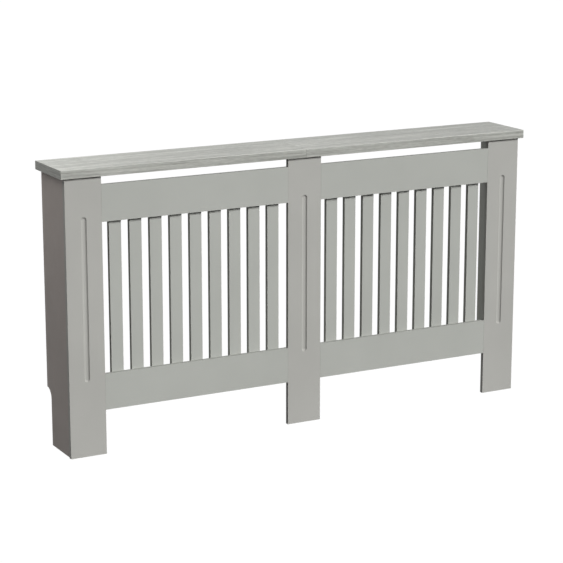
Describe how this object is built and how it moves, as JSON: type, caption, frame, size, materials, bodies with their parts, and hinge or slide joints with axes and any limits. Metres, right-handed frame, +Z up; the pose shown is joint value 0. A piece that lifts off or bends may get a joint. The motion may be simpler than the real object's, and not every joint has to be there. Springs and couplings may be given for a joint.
{
  "type": "radiator cover cabinet",
  "caption": "Painted board radiator cover with fluted posts, upright slats between rails, an overhanging wood-grain shelf and side panels notched for a skirting board.",
  "frame": {"origin": "on the floor, under the middle of the shelf", "axes": "+X to the right along the cover's length, +Y towards the wall, +Z up; the slatted front faces -Y"},
  "size_m": [1.52, 0.19, 0.825],
  "materials": {
    "painted_board": "matte grey paint on fibreboard",
    "shelf_finish": "grey wood-grain finish, grain lengthwise, satin",
    "joining_board": "matte grey paint on fibreboard",
    "dowel_wood": "bare beech",
    "zinc_steel": "bright zinc plate",
    "zinc_screws": "bright zinc plate",
    "cam_metal": "cast zinc alloy, dull"
  },
  "bodies": {
    "root": {"bottom_rail_left": "painted_board", "bottom_rail_right": "painted_board", "bracket_screws": "zinc_screws", "cam_bolts": "zinc_screws", "cam_locks": "cam_metal", "joining_board_screws": "zinc_screws", "joint_plate_bottom_left_inner": "zinc_steel", "joint_plate_bottom_left_outer": "zinc_steel", "joint_plate_bottom_right_inner": "zinc_steel", "joint_plate_bottom_right_outer": "zinc_steel", "joint_plate_screws": "zinc_screws", "joint_plate_top_left_inner": "zinc_steel", "joint_plate_top_left_outer": "zinc_steel", "joint_plate_top_right_inner": "zinc_steel", "joint_plate_top_right_outer": "zinc_steel", "post_bracket": "zinc_steel", "post_left": "painted_board", "post_middle": "painted_board", "post_right": "painted_board", "post_top_dowels": "dowel_wood", "rail_dowels": "dowel_wood", "shelf_joining_board": "joining_board", "shelf_left": "shelf_finish", "shelf_right": "shelf_finish", "shelf_seam_dowels": "dowel_wood", "side_panel_dowels": "dowel_wood", "side_panel_left": "painted_board", "side_panel_right": "painted_board", "slat_left_1": "painted_board", "slat_left_2": "painted_board", "slat_left_3": "painted_board", "slat_left_4": "painted_board", "slat_left_5": "painted_board", "slat_left_6": "painted_board", "slat_left_7": "painted_board", "slat_left_8": "painted_board", "slat_left_9": "painted_board", "slat_right_1": "painted_board", "slat_right_2": "painted_board", "slat_right_3": "painted_board", "slat_right_4": "painted_board", "slat_right_5": "painted_board", "slat_right_6": "painted_board", "slat_right_7": "painted_board", "slat_right_8": "painted_board", "slat_right_9": "painted_board", "slat_screws_left": "zinc_screws", "slat_screws_right": "zinc_screws", "top_rail_left": "painted_board", "top_rail_right": "painted_board", "wall_bracket_left": "zinc_steel", "wall_bracket_right": "zinc_steel"}
  },
  "joints": []
}
